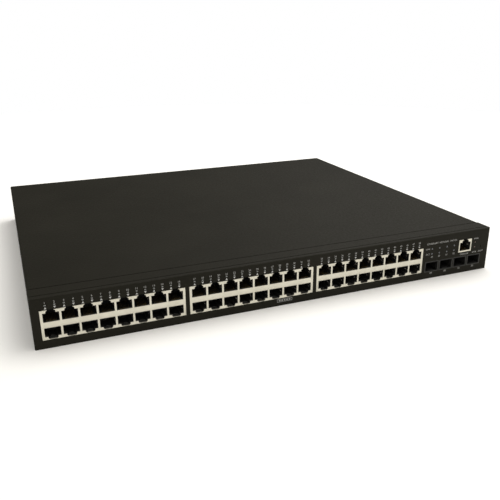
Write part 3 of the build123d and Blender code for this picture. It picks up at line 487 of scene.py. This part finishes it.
# ---------------------------------------------------------------- contacts and springs
WIRE_PATH_MM = (           # depth behind the face, height over the socket's wall
    (0.9, 0.28), (2.2, 0.28), (3.2, 0.42), (4.4, 0.74), (8.6, 1.78), (10.4, 2.12), (11.0, 2.1),
)
WIRE_R = 0.2 * MM
WIRE_PITCH = 1.02 * MM
WIRES = 8


def add_wires(bm, x, wall_z, up):
    """Eight bent spring wires over a socket's wall."""
    for index in range(WIRES):
        wire_x = x + (index - (WIRES - 1) / 2) * WIRE_PITCH
        points = [
            Vector((wire_x, FACE_Y + depth * MM, wall_z + up * rise * MM))
            for depth, rise in WIRE_PATH_MM
        ]
        tube(bm, points, WIRE_R, sides=6, flat=0.8)


SPRING_START = 2.4 * MM
SPRING_LENGTH = 4.0 * MM
SPRING_HALF_H = 0.75 * MM
SPRING_BULGE = 0.5 * MM
SPRING_T = 0.15 * MM
SPRING_OFFSET = 0.4 * MM        # from a socket's middle towards its notch
CONSOLE_SPRING_Z = 6.3 * MM     # above the bottom of the console socket's shell


def add_side_springs(bm, x, z, width):
    """Curved grounding leaf on each side wall of a socket."""
    steps = 7
    for side in (-1, 1):
        wall = x + side * (width / 2 - 0.04 * MM)
        rows = []
        for step in range(steps):
            share = step / (steps - 1)
            bulge = SPRING_BULGE * math.sin(math.pi * share)
            y = FACE_Y + SPRING_START + SPRING_LENGTH * share
            spread = SPRING_HALF_H * (1.0 - 0.35 * share)
            inner = wall - side * bulge
            outer = wall - side * max(bulge - SPRING_T, -0.02 * MM)
            corners = ((inner, -spread), (inner, spread), (outer, spread), (outer, -spread))
            rows.append([bm.verts.new((cx, y, z + cz)) for cx, cz in corners])
        for first, second in zip(rows, rows[1:]):
            for corner in range(4):
                other = (corner + 1) % 4
                bm.faces.new((first[corner], first[other], second[other], second[corner]))
        bm.faces.new(list(reversed(rows[0])))
        bm.faces.new(rows[-1])
    bmesh.ops.recalc_face_normals(bm, faces=bm.faces)


def make_contacts():
    """Spring wires of every copper socket and the console socket."""
    for block in range(BLOCKS):
        bm = bmesh.new()
        for owner, x, z, up in sockets():
            if owner == block:
                add_wires(bm, x, z - up * SOCKET_H / 2, up)
        node = f"port_contacts_{block + 1}"
        piece = piece_from(f"port_wires_{block + 1}", bm, 50)
        finish_piece(piece, MATERIALS["contact_gold"], replaces=(node,))
    bm = bmesh.new()
    add_wires(bm, middle_x("console_contacts"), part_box("console_contacts")[0].z, 1)
    piece = piece_from("console_wires", bm, 50)
    finish_piece(piece, MATERIALS["contact_gold"], replaces=("console_contacts",))


def make_springs():
    """Grounding leaves of every shielded socket."""
    bm = bmesh.new()
    for _, x, z, up in sockets():
        add_side_springs(bm, x, z + up * SPRING_OFFSET, SOCKET_W)
    console_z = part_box("console_shield")[0].z + CONSOLE_SPRING_Z
    add_side_springs(bm, middle_x("console_shield"), console_z, SOCKET_W)
    finish_piece(piece_from("socket_springs", bm), SPRING)


NOTCH_W = 7.2 * MM
NOTCH_BACK = 14.9 * MM
NOTCH_FLOOR_T = 0.35 * MM
OVER_SHEET = 0.33 * MM     # just over the thickness of the shell's sheet
WEB_FRONT = 1.2 * MM       # how far behind the face the web's corners start
WEB_CURVE = 4.6 * MM       # how much further back its middle starts


def notch_outline(x):
    """Outline of the web over one notch, with its front edge curved back in the middle."""
    half = NOTCH_W / 2 - 0.05 * MM
    steps = 12
    outline = []
    for step in range(steps + 1):
        side = 2 * step / steps - 1
        reach = WEB_FRONT + WEB_CURVE * math.sqrt(max(0.0, 1 - side * side))
        outline.append((x + side * half, FACE_Y + reach))
    return outline + [(x + half, FACE_Y + NOTCH_BACK), (x - half, FACE_Y + NOTCH_BACK)]


def add_slab(bm, outline, low_z, high_z):
    """Add a flat slab with the given outline in X and Y."""
    lower = [bm.verts.new((x, y, low_z)) for x, y in outline]
    upper = [bm.verts.new((x, y, high_z)) for x, y in outline]
    bm.faces.new(list(reversed(lower)))
    bm.faces.new(upper)
    for index in range(len(outline)):
        other = (index + 1) % len(outline)
        bm.faces.new((lower[index], lower[other], upper[other], upper[index]))


def make_notch_floors():
    """Moulded web over the shell's bottom sheet in each lower latch notch."""
    bm = bmesh.new()
    for block, x, _, up in sockets():
        if up < 0:
            floor_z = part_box(f"port_shield_{block + 1}")[0].z + OVER_SHEET
            add_slab(bm, notch_outline(x), floor_z, floor_z + NOTCH_FLOOR_T)
    bmesh.ops.recalc_face_normals(bm, faces=bm.faces)
    slot = "black_plastic"
    finish_piece(piece_from("notch_floors", bm, 30), MATERIALS[slot])


TONGUE_START = 0.6 * MM
TONGUE_LENGTH = 11.0 * MM
TONGUE_HALF = 3.2 * MM
TONGUE_RISE = 0.55 * MM
TONGUE_T = 0.2 * MM
CATCH_HALF = 1.5 * MM
CATCH_NEAR = 2.8 * MM
CATCH_FAR = 5.6 * MM


def add_tongue(bm, x, front, floor_z):
    """Add one tongue, sloping down to the back, as seven triangles round its catch hole."""
    near_left, near_right = (-TONGUE_HALF, 0), (TONGUE_HALF, 0)
    far_right, far_left = (TONGUE_HALF, TONGUE_LENGTH), (-TONGUE_HALF, TONGUE_LENGTH)
    left, right, tip = (-CATCH_HALF, CATCH_FAR), (CATCH_HALF, CATCH_FAR), (0, CATCH_NEAR)
    faces = (
        (near_left, near_right, tip), (near_right, right, tip), (near_left, tip, left),
        (near_right, far_right, right), (far_left, near_left, left), (far_right, far_left, left),
        (far_right, left, right),
    )
    made = {}
    for face in faces:
        for dx, dy in face:
            if (dx, dy) not in made:
                rise = TONGUE_RISE * (1 - dy / TONGUE_LENGTH)
                made[(dx, dy)] = bm.verts.new((x + dx, front + dy, floor_z + rise))
        bm.faces.new([made[corner] for corner in face])


def make_latch_tongues():
    """Sprung floor tongue with a three-cornered catch hole in each pluggable cage."""
    bm = bmesh.new()
    floor_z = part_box("main_board")[1].z + TONGUE_RISE
    for index in range(CAGES):
        add_tongue(bm, middle_x(f"pluggable_cage_{index + 1}"), FACE_Y + TONGUE_START, floor_z)
    thicken(bm, Vector((0, 0, 1)), TONGUE_T)
    finish_piece(piece_from("cage_tongues", bm, 20), CAGE)


# ---------------------------------------------------------------- printed legends
def letter_mesh(words):
    """Mesh of some words in the plain built-in face, one unit high capitals."""
    curve = bpy.data.curves.new("words", "FONT")
    curve.body = words
    curve.align_x = "CENTER"
    curve.align_y = "CENTER"
    curve.resolution_u = 3
    holder = bpy.data.objects.new("words", curve)
    bpy.context.scene.collection.objects.link(holder)
    graph = bpy.context.evaluated_depsgraph_get()
    mesh = bpy.data.meshes.new_from_object(holder.evaluated_get(graph))
    bpy.data.objects.remove(holder)
    bpy.data.curves.remove(curve)
    return mesh


def add_words(bm, words, x, z, height, width=None):
    """Print words centred at x, z, with capitals of that height, and that width if given."""
    mesh = letter_mesh(words)
    xs = [v.co.x for v in mesh.vertices]
    ys = [v.co.y for v in mesh.vertices]
    scale_y = height / (max(ys) - min(ys))
    scale_x = scale_y if width is None else width / (max(xs) - min(xs))
    centre = Vector(((max(xs) + min(xs)) / 2, (max(ys) + min(ys)) / 2, 0))
    lookup = []
    for vertex in mesh.vertices:
        local = vertex.co - centre
        lookup.append(bm.verts.new((x + local.x * scale_x, PRINT_Y, z + local.y * scale_y)))
    for polygon in mesh.polygons:
        bm.faces.new([lookup[i] for i in polygon.vertices])
    bpy.data.meshes.remove(mesh)


def add_outline(bm, x, z, width, height, line, y=PRINT_Y):
    """Printed rectangle outline."""
    signs = ((-1, -1), (1, -1), (1, 1), (-1, 1))
    rings = []
    for inset in (0.0, line):
        half_w, half_h = width / 2 - inset, height / 2 - inset
        rings.append([bm.verts.new((x + sx * half_w, y, z + sz * half_h)) for sx, sz in signs])
    outer, inner = rings
    for index in range(4):
        other = (index + 1) % 4
        bm.faces.new((outer[index], outer[other], inner[other], inner[index]))


def add_triangle(bm, x, z, width, height, up):
    """Printed arrowhead that points to a socket's row."""
    points = ((-width / 2, -up * height / 2), (width / 2, -up * height / 2), (0, up * height / 2))
    bm.faces.new([bm.verts.new((x + dx, PRINT_Y, z + dz)) for dx, dz in points])


def printed(name, bm, ink, outwards=(0, -1, 0)):
    """Give flat print its thickness, front side outwards, and its ink."""
    thicken(bm, Vector(outwards), PRINT_T)
    return finish_piece(piece_from(name, bm), ink)


DIGIT_H = 1.7 * MM
ARROW_W = 2.0 * MM
ARROW_H = 1.7 * MM
LEGEND_DZ = 2.25 * MM      # from a light to its number above and its arrowhead below


def make_port_print():
    """Number and arrowhead for each light above the port blocks."""
    numbers = bmesh.new()
    arrows = bmesh.new()
    for block in range(BLOCKS):
        middle = block_middle(block)
        for index in range(2 * COLUMNS):
            x = middle.x + (index - COLUMNS + 0.5) * LED_PITCH
            number = block * 2 * COLUMNS + index + 1
            up = 1 if index % 2 == 0 else -1
            add_words(numbers, str(number), x, LED_Z + LEGEND_DZ, DIGIT_H)
            add_triangle(arrows, x, LED_Z - LEGEND_DZ, ARROW_W, ARROW_H, up)
    printed("port_numbers", numbers, INK_DIM)
    printed("port_arrows", arrows, INK_BRIGHT)


# millimetres from the panel's left end: the two ends of each word of the title
TITLE = (("ETHERNET", 364.2, 377.2), ("NETWORK", 378.6, 389.6), ("SWITCH", 391.3, 399.1))
TITLE_Z = 36.1 * MM
TITLE_H = 1.6 * MM
ROW_LABELS = (("LINK", 30.9), ("ACT", 25.5))   # millimetres above the floor
ROW_LABEL_X = 365.8        # millimetres from the panel's left end
ROW_LABEL_H = 1.4 * MM
ROW_LABEL_W = 5.0 * MM
LABEL_H = 1.5 * MM
CAGE_NUMBER_H = 1.9 * MM
CAGE_NUMBER_Z = 5.3 * MM
LIGHT_NUMBER_Z = 22.2 * MM


def make_panel_words():
    """Title, labels and numbers at the right end of the panel."""
    words = bmesh.new()
    for text, left, right in TITLE:
        width = (right - left) * MM
        add_words(words, text, from_left((left + right) / 2), TITLE_Z, TITLE_H, width)
    for text, z_mm in ROW_LABELS:
        add_words(words, text, from_left(ROW_LABEL_X), z_mm * MM, ROW_LABEL_H, ROW_LABEL_W)
    lights = islands("led_lenses")
    status_x = (lights[-1][0].x + lights[-1][1].x) / 2
    for text, x, z_mm, width_mm in (
        ("CONSOLE", middle_x("console_shield"), 19.8, 10.4),
        ("PWR", status_x + 0.8 * MM, 34.2, 5.2),
        ("SYS", status_x, 20.2, 4.8),
        ("RESET", middle_x("reset_button") + 0.2 * MM, 20.2, 5.8),
    ):
        add_words(words, text, x, z_mm * MM, LABEL_H, width_mm * MM)
    for index in range(CAGES):
        number = str(FIRST_CAGE + index)
        low, high = lights[2 * index]
        cage_x = middle_x(f"pluggable_cage_{index + 1}")
        add_words(words, number, cage_x, CAGE_NUMBER_Z, CAGE_NUMBER_H)
        add_words(words, number, (low.x + high.x) / 2, LIGHT_NUMBER_Z, DIGIT_H)
    printed("panel_words", words, INK)


OUTLINE_GAP = 0.1 * MM
OUTLINE_LINE = 0.3 * MM


def make_cage_outlines():
    """Thin grey line round the mouth of each pluggable cage."""
    outlines = bmesh.new()
    for index in range(CAGES):
        low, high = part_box(f"pluggable_cage_{index + 1}")
        middle = (low + high) / 2
        width = high.x - low.x + 2 * OUTLINE_GAP
        height = high.z - low.z + 2 * OUTLINE_GAP
        y = low.y - PRINT_T
        add_outline(outlines, middle.x, middle.z, width, height, OUTLINE_LINE, y)
    printed("cage_outlines", outlines, INK_GREY)


MARK_X = 213.0             # millimetres from the panel's left end
MARK_Z = 5.0 * MM
MARK_W = 14.8 * MM
MARK_H = 2.9 * MM
MARK_PITCH = 2.4 * MM
MARK_BLOCKS = 5


def make_mark():
    """Plain outlined bar with five small blocks, below the middle port block."""
    mark = bmesh.new()
    x = from_left(MARK_X)
    add_outline(mark, x, MARK_Z, MARK_W, MARK_H, OUTLINE_LINE)
    for step in range(MARK_BLOCKS):
        block_x = x + (step - (MARK_BLOCKS - 1) / 2) * MARK_PITCH
        add_outline(mark, block_x, MARK_Z, 1.5 * MM, 1.3 * MM, 0.7 * MM)
    printed("plain_mark", mark, INK_DIM)


def add_bar(bm, low, high, y):
    """Printed bar between two corners given as (x, z)."""
    corners = ((low[0], low[1]), (high[0], low[1]), (high[0], high[1]), (low[0], high[1]))
    bm.faces.new([bm.verts.new((x, y, z)) for x, z in corners])


EARTH_GAP = 4.5 * MM            # from the screw's side to the symbol's middle
EARTH_LINE = 0.5 * MM
EARTH_STEM = 2.4 * MM
EARTH_STEP = 0.95 * MM
EARTH_HALF_BARS = (2.0 * MM, 1.3 * MM, 0.6 * MM)


def make_earth_print():
    """Earth symbol beside the ground screw on the rear panel."""
    bm = bmesh.new()
    screw_low, screw_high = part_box("ground_screw")
    x = screw_high.x + EARTH_GAP
    z = (screw_low.z + screw_high.z) / 2
    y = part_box("rear_panel")[1].y + PRINT_T
    add_bar(bm, (x - EARTH_LINE / 2, z), (x + EARTH_LINE / 2, z + EARTH_STEM), y)
    for step, half in enumerate(EARTH_HALF_BARS):
        top = z - step * EARTH_STEP
        add_bar(bm, (x - half, top - EARTH_LINE), (x + half, top), y)
    printed("earth_symbol", bm, INK, outwards=(0, 1, 0))


# ---------------------------------------------------------------- fans
BLADES = 7
HUB_R = 10.2 * MM
HUB_BORE_R = 8.9 * MM
SHAFT_R = 1.45 * MM
BLADE_TIP_R = 18.2 * MM
BLADE_ROOT = 0.4 * MM      # how far a blade's root reaches into the hub


def lathe(bm, centre, profile, steps=48):
    """Surface of revolution about Y from (radius, y) pairs; ends with radius 0 are closed."""
    rings = []
    for radius, y in profile:
        if radius < 1e-7:
            rings.append([bm.verts.new((centre.x, y, centre.z))])
            continue
        ring = []
        for step in range(steps):
            turn = 2 * math.pi * step / steps
            x = centre.x + radius * math.cos(turn)
            ring.append(bm.verts.new((x, y, centre.z + radius * math.sin(turn))))
        rings.append(ring)
    for first, second in zip(rings, rings[1:]):
        for step in range(steps):
            other = (step + 1) % steps
            corners = [first[step % len(first)], first[other % len(first)]]
            corners += [second[other % len(second)], second[step % len(second)]]
            unique = list(dict.fromkeys(corners))
            if len(unique) > 2:
                bm.faces.new(unique)


def blade_row(bm, centre, turn, share, radius, face, y_range):
    """One row of points across a blade, on its upper (1) or lower (-1) face."""
    y_low, y_high = y_range
    chords = 9
    pitch = math.radians(52 - 16 * share)
    sweep = math.radians(16) * share
    half = (y_high - y_low) / 2 / math.sin(pitch)
    row = []
    for chord in range(chords):
        along = 2 * chord / (chords - 1) - 1
        fall = 1 - along * along
        thick = 0.45 * MM * (1 - 0.75 * along * along) * (1.25 - 0.5 * share)
        lift = 1.1 * MM * fall + face * thick
        y = (y_low + y_high) / 2 + half * along * math.sin(pitch) * 0.97
        y -= lift * math.cos(pitch)
        arc = half * along * math.cos(pitch) + lift * math.sin(pitch)
        angle = turn + sweep + arc / radius
        x = centre.x + radius * math.cos(angle)
        z = centre.z + radius * math.sin(angle)
        row.append(bm.verts.new((x, min(max(y, y_low), y_high), z)))
    return row


def fan_blade(bm, centre, turn, inner, outer, y_range):
    """Swept and twisted blade with a cambered section."""
    spans = 7
    upper, lower = [], []
    for span in range(spans):
        share = span / (spans - 1)
        radius = inner + (outer - inner) * share
        upper.append(blade_row(bm, centre, turn, share, radius, 1, y_range))
        lower.append(blade_row(bm, centre, turn, share, radius, -1, y_range))
    for rows in (upper, lower):
        for first, second in zip(rows, rows[1:]):
            join_rows(bm, first, second)
    for edge in (0, -1):
        join_rows(bm, [row[edge] for row in upper], [row[edge] for row in lower])
        join_rows(bm, upper[edge], lower[edge])


def join_rows(bm, first, second):
    """Strip of four-sided faces between two rows of points."""
    for a, b, c, d in zip(first, first[1:], second[1:], second):
        bm.faces.new((a, b, c, d))


def make_rotor(number):
    """Moulded fan rotor: rounded cup hub with curved blades."""
    node = f"fan_rotor_{number}"
    low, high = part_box(node)
    frame_low, frame_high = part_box(f"fan_frame_{number}")
    centre = (frame_low + frame_high) / 2
    front, back = low.y, high.y - 1.0 * MM
    cup_floor = front + 1.8 * MM
    bm = bmesh.new()
    lathe(bm, centre, (
        (0, front + 0.5 * MM), (6.5 * MM, front + 0.5 * MM), (7.0 * MM, front + 0.1 * MM),
        (8.8 * MM, front + 0.1 * MM), (9.7 * MM, front + 0.45 * MM), (HUB_R, front + 1.4 * MM),
        (HUB_R, back), (HUB_BORE_R, back), (HUB_BORE_R, cup_floor),
        (SHAFT_R, cup_floor), (SHAFT_R, back), (0, back),
    ))
    y_range = (front + 1.0 * MM, back - 0.8 * MM)
    for blade in range(BLADES):
        turn = 2 * math.pi * blade / BLADES
        fan_blade(bm, centre, turn, HUB_R - BLADE_ROOT, BLADE_TIP_R, y_range)
    bmesh.ops.recalc_face_normals(bm, faces=bm.faces)
    piece = piece_from(f"fan_rotor_{number}_moulding", bm, 50)
    finish_piece(piece, MATERIALS["black_plastic"], body=node, replaces=(node,))


# ---------------------------------------------------------------- CAD nodes
def dress_nodes():
    """Give every CAD node the material of its slot."""
    for row in frame["record"]["subparts"]:
        node = NODES[row["node"]]
        material = MATERIALS[row["material_slot"]]
        if row["node"].startswith("pluggable_cage"):
            material = CAGE
        node.data.materials.clear()
        node.data.materials.append(material)
        node.data.shade_smooth()
        node.data.set_sharp_from_angle(angle=math.radians(28))


def finish_nodes():
    """Rounded-edge copies of the nodes whose edges show."""
    rounded = {
        "console_shield": 0.1, "ac_inlet": 0.35, "inlet_pins": 0.2, "rear_screws": 0.12,
        "ground_screw": 0.15, "cover_screws": 0.08, "fan_frame_1": 0.3, "fan_frame_2": 0.3,
    }
    for block in range(BLOCKS):
        rounded[f"port_shield_{block + 1}"] = 0.1
    slots = {row["node"]: row["material_slot"] for row in frame["record"]["subparts"]}
    for node, width in rounded.items():
        slot = slots[node]
        finish_piece(softened(node, width), MATERIALS[slot], replaces=(node,))


LENS_R = 0.9 * MM
LENS_D = 3.0 * MM


def make_small_lenses():
    """Domed tips of the small round lights, cool over the cages and warm at the right."""
    lights = islands("led_lenses")
    tip = lights[0][0].y
    for name, material, group in (
        ("cage_lenses", LENS_BLUE, lights[:-2]), ("status_lenses", LENS_AMBER, lights[-2:]),
    ):
        bm = bmesh.new()
        for low, high in group:
            lathe(bm, (low + high) / 2, (
                (0, tip), (LENS_R * 0.55, tip + 0.06 * MM), (LENS_R * 0.9, tip + 0.22 * MM),
                (LENS_R, tip + 0.5 * MM), (LENS_R, tip + LENS_D), (0, tip + LENS_D),
            ), steps=20)
        bmesh.ops.recalc_face_normals(bm, faces=bm.faces)
        finish_piece(piece_from(name, bm), material)
    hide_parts("led_lenses")


# ---------------------------------------------------------------- stage, lights and camera
FLOOR_R = 1.25
ABOVE = 1.1
IN_FRONT = 0.75
AT_RIGHT = 0.27


def make_stage():
    """Round pale floor under a surround of the same white."""
    bm = bmesh.new()
    bmesh.ops.create_circle(bm, cap_ends=True, segments=96, radius=FLOOR_R)
    floor = piece_from("floor", bm)
    floor.location.z = -0.05 * MM
    g = Graph("pale_floor")
    tone = g.remap(g.noise(400.0, 2.0), 0.3, 0.7, 0.0, 1.0)
    g.set(Base_Color=g.blend(tone, (0.93, 0.93, 0.925), (0.95, 0.95, 0.945)))
    g.set(Roughness=0.9, Specular_IOR_Level=0.1)
    floor.data.materials.append(g.material)


def make_world():
    """White surround to look at, which lights from overhead, in front and the right."""
    world = bpy.data.worlds.new("surround")
    bpy.context.scene.world = world
    world.use_nodes = True
    nodes, links = world.node_tree.nodes, world.node_tree.links

    def ramp(value, low, high, to_low, to_high):
        node = nodes.new("ShaderNodeMapRange")
        node.interpolation_type = "SMOOTHSTEP"
        names = ("From Min", "From Max", "To Min", "To Max")
        for name, number in zip(names, (low, high, to_low, to_high)):
            node.inputs[name].default_value = number
        links.new(value, node.inputs["Value"])
        return node.outputs["Result"]

    def combine(operation, first, second):
        node = nodes.new("ShaderNodeMath")
        node.operation = operation
        links.new(first, node.inputs[0])
        links.new(second, node.inputs[1])
        return node.outputs[0]

    split = nodes.new("ShaderNodeSeparateXYZ")
    links.new(nodes.new("ShaderNodeTexCoord").outputs["Generated"], split.inputs[0])
    above = ramp(split.outputs["Z"], 0.42, 0.8, 0.0, ABOVE)
    front = ramp(split.outputs["Y"], -0.65, 0.1, IN_FRONT, 0.0)
    right = ramp(split.outputs["X"], -0.15, 0.7, 0.0, AT_RIGHT)
    strength = combine("ADD", combine("MAXIMUM", above, front), right)
    soft = nodes["Background"]
    soft.inputs["Color"].default_value = (1.0, 0.97, 0.915, 1.0)
    links.new(strength, soft.inputs["Strength"])
    white = nodes.new("ShaderNodeBackground")
    white.inputs["Color"].default_value = (1.0, 1.0, 1.0, 1.0)
    white.inputs["Strength"].default_value = 1.0
    mix = nodes.new("ShaderNodeMixShader")
    links.new(nodes.new("ShaderNodeLightPath").outputs["Is Camera Ray"], mix.inputs[0])
    links.new(soft.outputs[0], mix.inputs[1])
    links.new(white.outputs[0], mix.inputs[2])
    links.new(mix.outputs[0], nodes["World Output"].inputs[0])


def soft_light(name, place, target, size, power, colour=(1.0, 1.0, 1.0)):
    """Square soft box aimed at a point."""
    light = bpy.data.lights.new(name, "AREA")
    light.shape = "RECTANGLE"
    light.size, light.size_y = size
    light.energy = power
    light.color = colour
    holder = bpy.data.objects.new(name, light)
    holder.location = place
    holder.rotation_euler = (Vector(target) - Vector(place)).to_track_quat("-Z", "Y").to_euler()
    bpy.context.scene.collection.objects.link(holder)


def make_lights():
    warm_white = (1.0, 0.985, 0.955)
    soft_light("overhead", (0.9, 0.5, 1.6), (0, 0, 0), (1.8, 1.8), 24, warm_white)


LENS_MM = 44.05
CAMERA_TILT_DEG = (69.64, 0.34, -22.08)
CAMERA_OUT = 0.4494
CAMERA_SIDE = -0.0012
CAMERA_HEIGHT = 0.237


def make_camera():
    camera = bpy.data.cameras.new("camera")
    camera.lens = LENS_MM
    camera.sensor_width = 36.0
    holder = bpy.data.objects.new("camera", camera)
    holder.location = (LEFT_X + CAMERA_SIDE, FACE_Y - CAMERA_OUT, CAMERA_HEIGHT)
    holder.rotation_euler = Euler([math.radians(a) for a in CAMERA_TILT_DEG], "XYZ")
    bpy.context.scene.collection.objects.link(holder)
    bpy.context.scene.camera = holder


dress_nodes()
finish_nodes()
make_contacts()
make_springs()
make_notch_floors()
make_port_print()
make_panel_words()
make_cage_outlines()
make_mark()
make_earth_print()
make_latch_tongues()
make_small_lenses()
for number in (1, 2):
    make_rotor(number)
make_stage()
make_world()
make_lights()
make_camera()
bpy.context.scene.view_settings.view_transform = "Standard"
